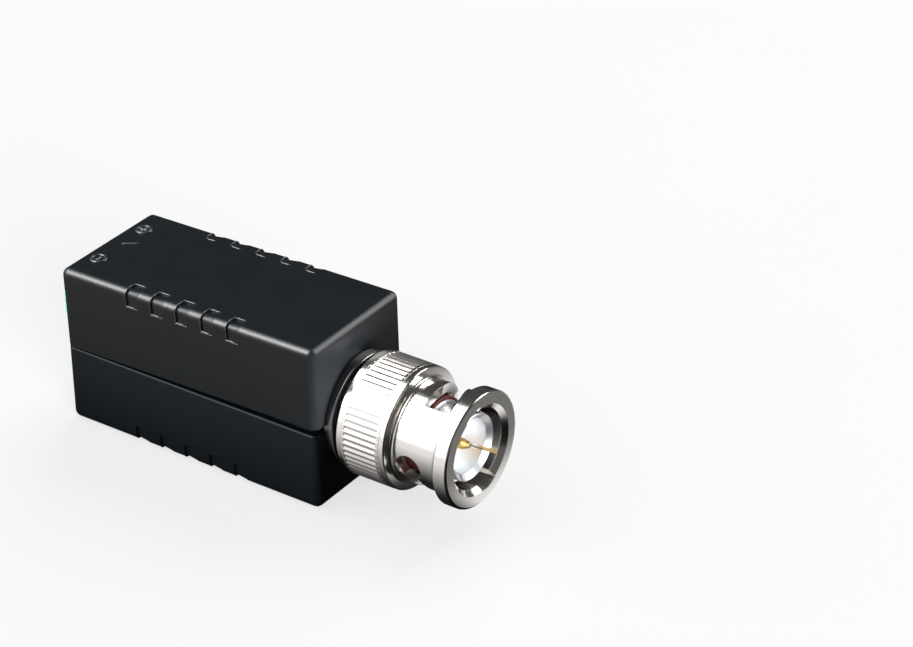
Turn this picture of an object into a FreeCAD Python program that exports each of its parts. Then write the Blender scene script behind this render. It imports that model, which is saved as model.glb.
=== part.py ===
import FreeCAD, Part
import math
import os

from FreeCAD import Vector

# Inline video balun: a two-part moulded case, a bayonet plug on its front face
# and a two-pole push-button terminal at its back.
# Millimetres. +X runs along the plug's axis, out of the case. +Z is up and the
# case rests on z = 0. The origin is the middle of the footprint.

# Case
case_length = 37.0
case_width = 17.0
lower_height = 9.9
upper_height = 10.45
wall = 1.5
edge_radius = 0.95
seam_gap = 0.06
seam_open = 0.7
seam_bevel = 0.15
tongue_thickness = 0.55
tongue_height = 1.1
tongue_play = 0.12
tongue_root = 0.5
tongue_round = 0.5
inner_round = 0.4

# How far a cutter passes the surface that it opens, and how far a rib reaches into its wall
overcut = 1.0
bite = 0.2

# Grips on the long edges
grip_count = 5
grip_pitch = 3.68
grip_first = 9.85
grip_length = 1.85
grip_depth = 0.26
grip_run_out = 0.03
grip_on_face = 1.95
grip_on_side = 2.15

# Raised marks on the top face
mark_radius = 1.0
mark_line = 0.26
mark_height = 0.15
mark_arm = 0.56
mark_sink = 0.1
mark_offset_y = 4.2
mark_inset = 2.4
slash_inset = 3.3
slash_offset_y = 0.6
slash_length = 2.3
slash_angle = 32.0

# Plug axis and the mounting through the front wall
axis_height = 9.8
barrel_radius = 4.75
opening_play = 0.1
mount_ring_radius = 7.0
mount_ring_thickness = 1.15
panel_nut_flats = 11.4
panel_nut_thickness = 2.0
seat_play = 0.02
rear_block_radius = 4.4
rear_block_end = 7.0
rear_block_round = 0.3
thread_start = 0.4
thread_lead = 0.2
ground_post_radius = 0.5
ground_post_spread = 3.0
ground_post_inset = 0.9
mount_ring_round = 0.3

# Plug body
neck_radius = 4.88
thrust_flange_radius = 6.0
thrust_flange_start = 3.6
thrust_flange_end = 4.5
flange_round = 0.15
neck_end = 9.4
sleeve_radius = 4.1
sleeve_bore = 3.35
sleeve_end = 15.7
sleeve_bevel = 0.55
sleeve_edge = 0.1
finger_slot_width = 0.45
finger_slot_start = 11.9
finger_slot_angle = 33.0
finger_count = 4
rear_bore = 2.4
rear_bore_end = 2.0

# Coupling ring
ring_start = 1.6
ring_end = 16.8
ring_radius = 7.45
ring_bore_play = 0.07
ring_pull = 0.6
ring_rear_chamfer = 0.4
knurl_start = 2.95
knurl_end = 7.35
knurl_count = 60
knurl_depth = 0.24
knurl_root_play = 0.05
collar_end = 8.5
collar_round = 0.2
ring_neck_radius = 6.1
neck_foot_round = 0.4
front_flange_start = 14.95
front_flange_radius = 7.1
front_flange_root = 0.8
front_flange_edge = 0.12
front_round = 0.3
front_bore_chamfer = 0.6
shoulder_play = 0.05
counterbore_radius = 6.2
clip_groove_radius = 6.5
clip_groove_width = 0.56

# Bayonet slots
slot_count = 2
entry_angle = 345.0
entry_width = 2.7
entry_radius = 5.8
slot_rear = 11.0
slot_front = 14.1
slot_rear_end = 9.7
slot_front_end = 11.5
slot_rear_hold = 23.0
slot_front_hold = 13.0
slot_sweep = 92.0
slot_inset = 0.6
slot_steps = 6
lug_seat_x = 10.85
lug_seat_radius = 1.7

# Spring, clip and seal
clip_play = 0.05
clip_inner_radius = 5.25
clip_gap_width = 1.2
clip_gap_angle = 200.0
wave_inner_radius = 5.25
wave_outer_radius = 5.9
wave_sheet = 0.25
wave_count = 3
wave_steps = 36
wave_play = 0.03
wave_closed = 0.54
gasket_length = 1.8
gasket_radius = 4.68
gasket_seat_radius = 4.3
gasket_rear_round = 0.1
gasket_front_round = 0.25

# Insulator and centre contact
insulator_end = 11.5
insulator_tail = 0.2
insulator_round = 0.2
pin_shank_radius = 1.0
pin_shank_setback = 0.15
pin_radius = 0.675
pin_end = 15.2
pin_taper = 1.0
pin_tip_radius = 0.28
pin_tip_round = 0.15
pin_taper_round = 0.5
pin_tail_radius = 0.4
pin_tail_setback = 8.2
pin_tail_margin = 0.15

# Circuit board
board_thickness = 1.2
board_bottom = 4.0
board_play = 0.2
board_front_setback = 4.4
rail_width = 1.1
lead_length = 0.9
lead_play = 0.1
boss_radius = 1.25
boss_pin_radius = 0.65
boss_pin_length = 2.2
boss_pin_play = 0.12
boss_offset_y = 5.5
front_boss_play = 0.5
rear_boss_play = 0.2
boss_notch_play = 0.2
boss_top_setback = 0.3
socket_spare = 1.0

# Terminal block
pole_pitch = 5.08
block_length = 9.0
block_height = 9.2
block_proud = 0.3
block_play = 0.1
block_edge = 0.3
wire_hole_radius = 1.3
wire_funnel_radius = 1.7
wire_funnel_depth = 0.8
wire_hole_height = 2.3
button_width = 3.7
button_height = 2.85
button_level = 6.05
button_play = 0.08
button_out = 4.0
button_stroke = 1.8
button_round = 0.45
button_foot = 0.55
button_foot_length = 1.3
button_lip = 1.6
button_notch_depth = 0.5
button_notch_height = 0.6
leaf_closed = 2.62
leaf_sheet = 0.28
leaf_width = 3.0
leaf_margin = 0.15
leaf_bend = 0.45
contact_sheet = 0.4
contact_width = 2.6
contact_start = 2.7
contact_end = 6.2
contact_tail = 5.4
contact_drop = 0.3

# Parts on the board
core_outer = 4.45
core_inner = 2.3
core_height = 4.4
core_round = 0.4
winding_sheet = 0.38
winding_round = 0.5
winding_sweep = 300.0
diode_radius = 1.25
diode_length = 4.6
diode_round = 0.3
capacitor_length = 4.6
capacitor_depth = 1.9
capacitor_height = 4.4
capacitor_round = 0.3
chip_length = 3.0
chip_depth = 1.5
chip_height = 0.55
chip_spread = 3.9
chip_play = 0.2

# Places along the axis
x_face = (button_out + case_length + ring_end) / 2.0 - ring_end
x_back = x_face - case_length
board_top = board_bottom + board_thickness
block_back = x_back - block_proud
block_top = board_top + block_height
block_front = block_back + block_length
clip_groove_end = thrust_flange_start - ring_pull - wave_closed
clip_groove_start = clip_groove_end - clip_groove_width
pocket_end = button_lip + button_play + button_foot_length + button_stroke + leaf_closed
ground_x = x_face - rear_block_end + ground_post_inset
chip_x = ground_x - ground_post_radius - chip_play - chip_length / 2.0
front_boss_x = chip_x - chip_length / 2.0 - front_boss_play - boss_radius
rear_boss_x = block_front + rear_boss_play + boss_radius

# The transformer, the diode and the capacitor share the board evenly, between the block and the pin's tail
pin_back = pin_tail_setback + pin_tail_radius + pin_tail_margin
core_reach = core_outer + winding_sheet
free_length = x_face - pin_back - block_front
part_gap = (free_length - 2.0 * core_reach - 2.0 * diode_radius - capacitor_depth) / 4.0
core_x = block_front + part_gap + core_reach
diode_x = core_x + core_reach + part_gap + diode_radius
capacitor_x = diode_x + diode_radius + part_gap + capacitor_depth / 2.0
half_width = case_width / 2.0
inner_half = half_width - wall
seam_angle = math.degrees(math.atan2(seam_open, case_length))
upper_base = lower_height + seam_gap
upper_top = upper_base + upper_height

os.makedirs("parts", exist_ok=True)


def box(x0, x1, y0, y1, z0, z1):
    """Solid block between two corners."""
    return Part.makeBox(x1 - x0, y1 - y0, z1 - z0, Vector(x0, y0, z0))


def rod(x0, x1, radius, y=0.0, z=axis_height):
    """Round bar along +X."""
    return Part.makeCylinder(radius, x1 - x0, Vector(x0, y, z), Vector(1, 0, 0))


def post(x, y, z0, z1, radius):
    """Round bar along +Z."""
    return Part.makeCylinder(radius, z1 - z0, Vector(x, y, z0), Vector(0, 0, 1))


def outline(corners):
    """Closed wire in the XZ plane; a corner (x, z, r) with r above 0 is rounded by radius r."""
    places = [Vector(c[0], 0, c[1]) for c in corners]
    starts = []
    ends = []
    middles = []
    count = len(corners)
    for i in range(count):
        here = places[i]
        radius = corners[i][2] if len(corners[i]) > 2 else 0.0
        if radius <= 0.0:
            starts.append(here)
            ends.append(here)
            middles.append(None)
            continue
        back = (places[i - 1] - here).normalize()
        ahead = (places[(i + 1) % count] - here).normalize()
        half = back.getAngle(ahead) / 2.0
        reach = radius / math.tan(half)
        bisector = (back + ahead).normalize()
        centre = here + bisector * (radius / math.sin(half))
        starts.append(here + back * reach)
        ends.append(here + ahead * reach)
        middles.append(centre - bisector * radius)
    edges = []
    for i in range(count):
        if middles[i] is not None:
            edges.append(Part.Arc(starts[i], middles[i], ends[i]).toShape())
        following = starts[(i + 1) % count]
        if (following - ends[i]).Length > 1e-6:
            edges.append(Part.LineSegment(ends[i], following).toShape())
    return Part.Wire(edges)


def turned(corners, sweep=360.0, start=0.0):
    """Solid of revolution about the plug's axis from (distance from the front face, radius) corners.

    Angles run clockwise from the top as seen from the front.
    """
    raised = [(x_face + c[0], axis_height + c[1]) + tuple(c[2:]) for c in corners]
    face = Part.Face(outline(raised))
    centre = Vector(0, 0, axis_height)
    face.rotate(centre, Vector(1, 0, 0), -start)
    return face.revolve(centre, Vector(-1, 0, 0), sweep)


def about_axis(shape, angle):
    """Copy turned clockwise about the plug's axis, as seen from the front."""
    turn = shape.copy()
    turn.rotate(Vector(0, 0, axis_height), Vector(-1, 0, 0), angle)
    return turn


def joined(shapes):
    """One clean solid from overlapping solids."""
    whole = shapes[0].fuse(shapes[1:]) if len(shapes) > 1 else shapes[0]
    return whole.removeSplitter()


def save(name, shape):
    """Write one node and print what it holds."""
    solids = shape.Solids
    if len(solids) == 1:
        shape = solids[0]
    valid = shape.isValid()
    print(name, "solids", len(solids), "valid", valid, "volume %.2f" % shape.Volume)
    shape.exportStep("parts/" + name + ".step")


def shell_block(z0, z1, round_top):
    """Outer block of one half of the case, rounded at its corners and its closed face."""
    block = box(x_back, x_face, -half_width, half_width, z0, z1)
    closed = z1 if round_top else z0
    edges = []
    for edge in block.Edges:
        ends = [v.Point for v in edge.Vertexes]
        upright = abs(ends[0].z - ends[1].z) > (z1 - z0) / 2.0
        on_closed = all(abs(p.z - closed) < 1e-6 for p in ends)
        if upright or on_closed:
            edges.append(edge)
    block = block.makeFillet(edge_radius, edges)
    seam = z0 if round_top else z1
    rim = []
    for edge in block.Edges:
        if all(abs(v.Point.z - seam) < 1e-6 for v in edge.Vertexes):
            rim.append(edge)
    return block.makeChamfer(seam_bevel, rim)


def ring_prism(inset, z0, z1, radius):
    """Block inset from the case's outer walls, with rounded upright edges."""
    block = box(x_back + inset, x_face - inset, -half_width + inset, half_width - inset, z0, z1)
    edges = [e for e in block.Edges if abs(e.Vertexes[0].Point.z - e.Vertexes[1].Point.z) > 1e-6]
    return block.makeFillet(radius, edges)


def grip_section(x, depth, side, closed, inward):
    """Section of a grip recess: wraps the long edge where the closed face meets a side wall."""
    y_wall = side * half_width
    y_in = y_wall - side * grip_on_face
    z_in = closed + inward * grip_on_side
    y_out = y_wall + side * overcut
    z_out = closed - inward * overcut
    y_floor = y_wall - side * depth
    z_floor = closed + inward * depth
    radius = edge_radius - depth
    centre_y = y_wall - side * edge_radius
    centre_z = closed + inward * edge_radius
    slant = radius / math.sqrt(2.0)
    arc_start = Vector(x, centre_y, z_floor)
    arc_middle = Vector(x, centre_y + side * slant, centre_z - inward * slant)
    arc_end = Vector(x, y_floor, centre_z)
    edges = [
        Part.LineSegment(Vector(x, y_in, z_out), Vector(x, y_in, z_floor)).toShape(),
        Part.LineSegment(Vector(x, y_in, z_floor), arc_start).toShape(),
        Part.Arc(arc_start, arc_middle, arc_end).toShape(),
        Part.LineSegment(arc_end, Vector(x, y_floor, z_in)).toShape(),
        Part.LineSegment(Vector(x, y_floor, z_in), Vector(x, y_out, z_in)).toShape(),
        Part.LineSegment(Vector(x, y_out, z_in), Vector(x, y_out, z_out)).toShape(),
        Part.LineSegment(Vector(x, y_out, z_out), Vector(x, y_in, z_out)).toShape(),
    ]
    return Part.Wire(edges)


def grips(closed, inward):
    """Cutters of all grip recesses along both long edges of one closed face."""
    cutters = []
    for side in (-1.0, 1.0):
        for i in range(grip_count):
            x = x_back + grip_first + i * grip_pitch
            deep = grip_section(x, grip_depth, side, closed, inward)
            shallow = grip_section(x + grip_length, grip_run_out, side, closed, inward)
            cutters.append(Part.makeLoft([deep, shallow], True, True))
    return cutters


boss_places = []
for boss_x in (front_boss_x, rear_boss_x):
    for boss_side in (-1.0, 1.0):
        boss_places.append((boss_x, boss_side * boss_offset_y))

# Openings shared by both halves of the case
plug_opening = rod(x_face - wall - overcut, x_face + overcut, barrel_radius + opening_play)
window_half = pole_pitch + block_play
block_opening = box(
    x_back - overcut,
    x_back + wall + overcut,
    -window_half,
    window_half,
    board_top,
    block_top + block_play,
)

# Lower half of the case: tray, tongue round the seam, board rails and bosses
lower = shell_block(0.0, lower_height, False)
lower = lower.cut(ring_prism(wall, wall, lower_height + overcut, inner_round))
tongue_inset = wall - tongue_thickness
tongue = ring_prism(tongue_inset, lower_height - tongue_root, lower_height + tongue_height, tongue_round)
tongue_hollow_top = lower_height + tongue_height + overcut
tongue = tongue.cut(ring_prism(wall, lower_height - tongue_root - overcut, tongue_hollow_top, inner_round))
rails = []
for rail_side in (-1.0, 1.0):
    rail_y = sorted((rail_side * (inner_half - rail_width), rail_side * (inner_half + bite)))
    rail_x0 = x_back + wall - bite
    rail_x1 = x_face - board_front_setback
    rails.append(box(rail_x0, rail_x1, rail_y[0], rail_y[1], wall - bite, board_bottom))
boss_top = lower_height - boss_top_setback
bosses = [post(x, y, wall - bite, boss_top, boss_radius) for x, y in boss_places]
lower = joined([lower, tongue] + rails + bosses)
sockets = []
for boss_x, boss_y in boss_places:
    socket_floor = lower_height - boss_pin_length - socket_spare
    sockets.append(post(boss_x, boss_y, socket_floor, lower_height, boss_pin_radius + boss_pin_play))
lower = lower.cut([plug_opening, block_opening] + sockets)
lower = lower.cut(grips(0.0, 1.0))
save("lower_shell", lower)

# Upper half of the case: made flat on the seam, then tipped open at the plug end
upper = shell_block(upper_base, upper_top, True)
upper = upper.cut(ring_prism(wall, upper_base - overcut, upper_top - wall, inner_round))
rebate_inset = tongue_inset - tongue_play
rebate_top = lower_height + tongue_height + tongue_play
upper = upper.cut(ring_prism(rebate_inset, upper_base - overcut, rebate_top, tongue_round + tongue_play))
pins = []
for boss_x, boss_y in boss_places:
    pins.append(post(boss_x, boss_y, upper_base, upper_top - wall + bite, boss_radius))
    pins.append(post(boss_x, boss_y, upper_base - boss_pin_length, upper_base + bite, boss_pin_radius))
marks = []
top_z = upper_top - mark_sink
mark_top = upper_top + mark_height
mark_x = x_back + mark_inset
for mark_side in (-1.0, 1.0):
    mark_y = mark_side * mark_offset_y
    disc = post(mark_x, mark_y, top_z, mark_top, mark_radius)
    hole = post(mark_x, mark_y, top_z - overcut, mark_top + overcut, mark_radius - mark_line)
    marks.append(disc.cut(hole))
    arm = mark_arm
    thin = mark_line / 2.0
    marks.append(box(mark_x - thin, mark_x + thin, mark_y - arm, mark_y + arm, top_z, mark_top))
    if mark_side > 0:
        marks.append(box(mark_x - arm, mark_x + arm, mark_y - thin, mark_y + thin, top_z, mark_top))
slash_half = slash_length / 2.0
slash = box(-slash_half, slash_half, -thin, thin, top_z, mark_top)
slash.rotate(Vector(0, 0, 0), Vector(0, 0, 1), slash_angle)
slash.translate(Vector(x_back + slash_inset, slash_offset_y, 0))
marks.append(slash)
upper = joined([upper] + pins)
upper = upper.cut([plug_opening, block_opening])
upper = upper.cut(grips(upper_top, -1.0))
upper = joined([upper] + marks)
upper.rotate(Vector(x_back, 0, upper_base), Vector(0, 1, 0), -seam_angle)
nut_corner = panel_nut_flats / 2.0 / math.cos(math.radians(30.0))
nut_front = x_face - wall
nut_rear = nut_front - panel_nut_thickness
upper = upper.cut(rod(nut_rear - seat_play, nut_front, nut_corner + opening_play))
save("upper_shell", upper)

# Circuit board on its rails, notched round the bosses and drilled for the leads
board_half = inner_half - board_play
board_x0 = x_back + wall + board_play
board_x1 = x_face - board_front_setback
board = box(board_x0, board_x1, -board_half, board_half, board_bottom, board_top)
lead_hole = pin_tail_radius + lead_play
tail_x = x_face - pin_tail_setback
cuts = [post(x, y, 0.0, lower_height, boss_radius + boss_notch_play) for x, y in boss_places]
cuts.append(post(tail_x, 0.0, 0.0, lower_height, lead_hole))
for ground_side in (-1.0, 1.0):
    ground_y = ground_side * ground_post_spread
    cuts.append(post(ground_x, ground_y, 0.0, lower_height, ground_post_radius + lead_play))
contact_x = block_back + contact_tail
for pole_side in (-1.0, 1.0):
    pole_y = pole_side * pole_pitch / 2.0
    cuts.append(post(contact_x, pole_y, 0.0, lower_height, lead_hole))
board = board.cut(cuts)
save("circuit_board", board)

# Terminal block: wire funnels below, button pockets above
block = box(block_back, block_front, -pole_pitch, pole_pitch, board_top, block_top)
block_edges = []
for edge in block.Edges:
    if all(abs(v.Point.x - block_back) < 1e-6 for v in edge.Vertexes):
        block_edges.append(edge)
block = block.makeChamfer(block_edge, block_edges)
wire_z = board_top + wire_hole_height
button_z0 = board_top + button_level
button_z1 = button_z0 + button_height
pocket_half = button_width / 2.0 + button_play
block_cuts = []
for pole_side in (-1.0, 1.0):
    pole_y = pole_side * pole_pitch / 2.0
    block_cuts.append(rod(block_back - overcut, block_back + contact_end, wire_hole_radius, pole_y, wire_z))
    block_cuts.append(
        Part.makeCone(
            wire_funnel_radius,
            wire_hole_radius,
            wire_funnel_depth,
            Vector(block_back, pole_y, wire_z),
            Vector(1, 0, 0),
        )
    )
    y0 = pole_y - pocket_half
    y1 = pole_y + pocket_half
    z0 = button_z0 - button_play
    z1 = button_z1 + button_play
    block_cuts.append(box(block_back - overcut, block_back + pocket_end, y0, y1, z0, z1))
    foot_z = z0 - button_foot
    block_cuts.append(box(block_back + button_lip, block_back + pocket_end, y0, y1, foot_z, z1))
    half = max(contact_width / 2.0, wire_hole_radius) + lead_play
    cavity_x0 = block_back + contact_start - lead_play
    cavity_x1 = block_back + contact_end + lead_play
    cavity_top = wire_z + wire_hole_radius + lead_play
    cavity_floor = board_top - overcut
    block_cuts.append(box(cavity_x0, cavity_x1, pole_y - half, pole_y + half, cavity_floor, cavity_top))
block = block.cut(block_cuts)
save("terminal_block", block)

# Buttons, leaf springs and contacts of the two poles
for pole_name, pole_side in (("plus", 1.0), ("minus", -1.0)):
    pole_y = pole_side * pole_pitch / 2.0
    y0 = pole_y - button_width / 2.0
    y1 = pole_y + button_width / 2.0
    tip = x_back - button_out
    foot_x0 = block_back + button_lip + button_play
    foot_x1 = foot_x0 + button_foot_length
    stem = box(tip, foot_x1, y0, y1, button_z0, button_z1)
    tip_edges = []
    for edge in stem.Edges:
        if all(abs(v.Point.x - tip) < 1e-6 for v in edge.Vertexes):
            tip_edges.append(edge)
    stem = stem.makeFillet(button_round, tip_edges)
    notch_z0 = (button_z0 + button_z1 - button_notch_height) / 2.0
    notch_z1 = notch_z0 + button_notch_height
    notch = box(tip - overcut, tip + button_notch_depth, y0 - overcut, y1 + overcut, notch_z0, notch_z1)
    foot = box(foot_x0, foot_x1, y0, y1, button_z0 - button_foot, button_z1)
    button = joined([stem, foot]).cut(notch)
    save("terminal_button_" + pole_name, button)

    leaf_x0 = foot_x1 + seat_play
    leaf_x1 = block_back + pocket_end - seat_play
    high = button_z1 - leaf_margin
    low = button_z0 - button_foot + leaf_margin
    middle = (high + low) / 2.0
    sheet = leaf_sheet
    leaf = [
        Vector(leaf_x0, 0, high),
        Vector(leaf_x1, 0, middle + sheet),
        Vector(leaf_x1, 0, middle - sheet),
        Vector(leaf_x0, 0, low),
        Vector(leaf_x0, 0, low + sheet),
        Vector(leaf_x1 - leaf_bend, 0, middle),
        Vector(leaf_x0, 0, high - sheet),
        Vector(leaf_x0, 0, high),
    ]
    leaf_face = Part.Face(Part.makePolygon(leaf))
    leaf_solid = leaf_face.extrude(Vector(0, leaf_width, 0))
    leaf_solid.translate(Vector(0, pole_y - leaf_width / 2.0, 0))
    save("clamp_spring_" + pole_name, leaf_solid)

    y0 = pole_y - contact_width / 2.0
    y1 = pole_y + contact_width / 2.0
    x0 = block_back + contact_start
    x1 = block_back + contact_end
    plate_top = wire_z + wire_hole_radius - contact_drop
    sole = box(x0, x1, y0, y1, board_top, board_top + contact_sheet)
    back_plate = box(x1 - contact_sheet, x1, y0, y1, board_top, plate_top)
    tail = post(contact_x, pole_y, board_bottom - lead_length, board_top + contact_sheet, pin_tail_radius)
    save("contact_" + pole_name, joined([sole, back_plate, tail]))

# Plug body: threaded barrel, thrust flange, neck and slotted contact sleeve in one turning
body = turned(
    [
        (-rear_block_end, rear_bore),
        (-rear_block_end, rear_block_radius, rear_block_round),
        (-wall - panel_nut_thickness - thread_start, rear_block_radius),
        (-wall - panel_nut_thickness - thread_start + thread_lead, barrel_radius),
        (mount_ring_thickness, barrel_radius),
        (mount_ring_thickness, neck_radius),
        (thrust_flange_start, neck_radius),
        (thrust_flange_start, thrust_flange_radius, flange_round),
        (thrust_flange_end, thrust_flange_radius, flange_round),
        (thrust_flange_end, neck_radius),
        (neck_end, neck_radius, flange_round),
        (neck_end, gasket_seat_radius),
        (neck_end + gasket_length, gasket_seat_radius),
        (neck_end + gasket_length, sleeve_radius),
        (finger_slot_start, sleeve_radius),
        (sleeve_end - sleeve_edge, sleeve_radius),
        (sleeve_end, sleeve_radius - sleeve_edge),
        (sleeve_end - sleeve_bevel, sleeve_bore),
        (rear_bore_end, sleeve_bore),
        (rear_bore_end, rear_bore),
    ]
)
posts = []
for ground_side in (-1.0, 1.0):
    ground_y = ground_side * ground_post_spread
    posts.append(
        post(ground_x, ground_y, board_bottom - lead_length, axis_height - rear_bore, ground_post_radius)
    )
body = body.fuse(posts)
slots = []
for finger in range(finger_count):
    slot = box(
        x_face + finger_slot_start,
        x_face + sleeve_end + overcut,
        -finger_slot_width / 2.0,
        finger_slot_width / 2.0,
        axis_height + sleeve_bore - overcut,
        axis_height + sleeve_radius + overcut,
    )
    slots.append(about_axis(slot, finger_slot_angle + finger * 360.0 / finger_count))
body = body.cut(slots)
save("plug_body", body)

# Mounting ring against the case's front face, and the nut behind the wall
mount_ring = turned(
    [
        (0.0, barrel_radius + seat_play),
        (0.0, mount_ring_radius),
        (mount_ring_thickness, mount_ring_radius, mount_ring_round),
        (mount_ring_thickness, barrel_radius + seat_play),
    ]
)
save("mount_ring", mount_ring)

nut_points = []
for corner in range(7):
    turn = math.radians(60.0 * corner)
    place = Vector(
        nut_rear - seat_play,
        nut_corner * math.cos(turn),
        axis_height + nut_corner * math.sin(turn),
    )
    nut_points.append(place)
nut = Part.Face(Part.makePolygon(nut_points)).extrude(Vector(panel_nut_thickness, 0, 0))
nut = nut.cut(rod(nut_rear - overcut, nut_front, barrel_radius + seat_play))
save("panel_nut", nut)

# Coupling ring: outer form
ring_bore = neck_radius + ring_bore_play
shoulder = thrust_flange_end + shoulder_play
core_radius = ring_radius - knurl_depth - knurl_root_play
ring_outer = turned(
    [
        (ring_start, 0.0),
        (ring_start, ring_radius - ring_rear_chamfer),
        (ring_start + ring_rear_chamfer, ring_radius),
        (knurl_start, ring_radius),
        (knurl_start, core_radius),
        (knurl_end, core_radius),
        (knurl_end, ring_radius),
        (collar_end, ring_radius, collar_round),
        (collar_end, ring_neck_radius, neck_foot_round),
        (front_flange_start, ring_neck_radius, front_flange_root),
        (front_flange_start, front_flange_radius, front_flange_edge),
        (ring_end, front_flange_radius, front_round),
        (ring_end, 0.0),
    ]
)
knurl_points = []
for ridge in range(2 * knurl_count + 1):
    turn = math.radians(180.0 * ridge / knurl_count)
    radius = ring_radius if ridge % 2 == 0 else ring_radius - knurl_depth
    place = Vector(x_face + knurl_start, radius * math.sin(turn), axis_height + radius * math.cos(turn))
    knurl_points.append(place)
knurl = Part.Face(Part.makePolygon(knurl_points)).extrude(Vector(knurl_end - knurl_start, 0, 0))
ring = ring_outer.fuse(knurl)

# Coupling ring: stepped bore, clip groove and front chamfer
ring_hollow = turned(
    [
        (ring_start - overcut, 0.0),
        (ring_start - overcut, counterbore_radius),
        (clip_groove_start, counterbore_radius),
        (clip_groove_start, clip_groove_radius),
        (clip_groove_end, clip_groove_radius),
        (clip_groove_end, counterbore_radius),
        (shoulder, counterbore_radius),
        (shoulder, ring_bore),
        (ring_end - front_bore_chamfer, ring_bore),
        (ring_end + overcut, ring_bore + front_bore_chamfer + overcut),
        (ring_end + overcut, 0.0),
    ]
)
ring = ring.cut(ring_hollow)


def slot_edge(sweep, hold, first, last):
    """Place of one slot edge along the axis: level over the hold angle, then falling evenly."""
    share = max(0.0, sweep - hold) / (slot_sweep - hold)
    return x_face + first + share * (last - first)


def slot_section(sweep):
    """Radial rectangle of the bayonet slot at one angle from its entry."""
    x0 = slot_edge(sweep, slot_rear_hold, slot_rear, slot_rear_end)
    x1 = slot_edge(sweep, slot_front_hold, slot_front, slot_front_end)
    corners = [
        Vector(x0, 0, slot_bottom),
        Vector(x1, 0, slot_bottom),
        Vector(x1, 0, slot_top),
        Vector(x0, 0, slot_top),
        Vector(x0, 0, slot_bottom),
    ]
    wire = Part.makePolygon(corners)
    wire.rotate(Vector(0, 0, axis_height), Vector(-1, 0, 0), entry_angle + sweep)
    return wire


# One bayonet slot: axial entry under the front flange, wide mouth, falling run and round lug seat
slot_bottom = axis_height + ring_bore - slot_inset
slot_top = axis_height + ring_neck_radius + overcut
entry_x0 = x_face + slot_rear
entry_x1 = x_face + ring_end + overcut
entry_half = entry_width / 2.0
entry = box(entry_x0, entry_x1, -entry_half, entry_half, slot_bottom, slot_top)
entry = entry.common(rod(entry_x0, entry_x1, entry_radius))
entry = about_axis(entry, entry_angle)
mouth = box(entry_x0, x_face + slot_front, -entry_half, entry_half, slot_bottom, slot_top)
mouth = about_axis(mouth, entry_angle)
slot_sweeps = [0.0, slot_front_hold]
for index in range(slot_steps + 1):
    slot_sweeps.append(slot_rear_hold + index / slot_steps * (slot_sweep - slot_rear_hold))
run = Part.makeLoft([slot_section(sweep) for sweep in slot_sweeps], True, True)
lug_seat = post(x_face + lug_seat_x, 0.0, slot_bottom, slot_top, lug_seat_radius)
lug_seat = about_axis(lug_seat, entry_angle + slot_sweep)
for slot in range(slot_count):
    half_turn = slot * 360.0 / slot_count
    for cutter in (entry, mouth, run, lug_seat):
        ring = ring.cut(about_axis(cutter, half_turn))
ring = ring.removeSplitter()
save("coupling_ring", ring)

# Retaining clip in the ring's groove, and the wave washer that draws the ring back
clip_start = clip_groove_start + clip_play / 2.0
clip_end = clip_groove_end - clip_play / 2.0
clip = turned(
    [
        (clip_start, clip_inner_radius),
        (clip_start, clip_groove_radius - clip_play),
        (clip_end, clip_groove_radius - clip_play),
        (clip_end, clip_inner_radius),
    ]
)
clip_gap = box(
    x_face + clip_start - overcut,
    x_face + clip_end + overcut,
    -clip_gap_width / 2.0,
    clip_gap_width / 2.0,
    axis_height,
    axis_height + clip_groove_radius + overcut,
)
clip = clip.cut(about_axis(clip_gap, clip_gap_angle))
save("retaining_clip", clip)

wave_start = clip_end + wave_play
wave_end = thrust_flange_start - wave_play
wave_height = (wave_end - wave_start - wave_sheet) / 2.0
wave_middle = (wave_end + wave_start) / 2.0
wave_sections = []
for step in range(wave_steps + 1):
    turn = 360.0 * step / wave_steps
    lean = wave_height * math.cos(math.radians(turn * wave_count))
    x0 = x_face + wave_middle + lean - wave_sheet / 2.0
    x1 = x0 + wave_sheet
    r0 = axis_height + wave_inner_radius
    r1 = axis_height + wave_outer_radius
    corners = [Vector(x0, 0, r0), Vector(x1, 0, r0), Vector(x1, 0, r1), Vector(x0, 0, r1), Vector(x0, 0, r0)]
    wire = Part.makePolygon(corners)
    wire.rotate(Vector(0, 0, axis_height), Vector(-1, 0, 0), turn)
    wave_sections.append(wire)
half_steps = wave_steps // 2
wave_halves = [
    Part.makeLoft(wave_sections[: half_steps + 1], True, True),
    Part.makeLoft(wave_sections[half_steps:], True, True),
]
save("wave_washer", joined(wave_halves))

# Gasket round the sleeve, against the neck's front face
gasket = turned(
    [
        (neck_end, gasket_seat_radius + seat_play),
        (neck_end, gasket_radius, gasket_rear_round),
        (neck_end + gasket_length, gasket_radius, gasket_front_round),
        (neck_end + gasket_length, gasket_seat_radius + seat_play),
    ]
)
save("gasket", gasket)

# Insulator with the centre contact through it
insulator = turned(
    [
        (-rear_block_end - insulator_tail, pin_shank_radius + seat_play),
        (-rear_block_end - insulator_tail, rear_bore - seat_play),
        (rear_bore_end + seat_play, rear_bore - seat_play),
        (rear_bore_end + seat_play, sleeve_bore - seat_play),
        (insulator_end, sleeve_bore - seat_play, insulator_round),
        (insulator_end, pin_radius + seat_play),
        (insulator_end - pin_shank_setback + seat_play, pin_radius + seat_play),
        (insulator_end - pin_shank_setback + seat_play, pin_shank_radius + seat_play),
    ]
)
save("insulator", insulator)

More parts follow.
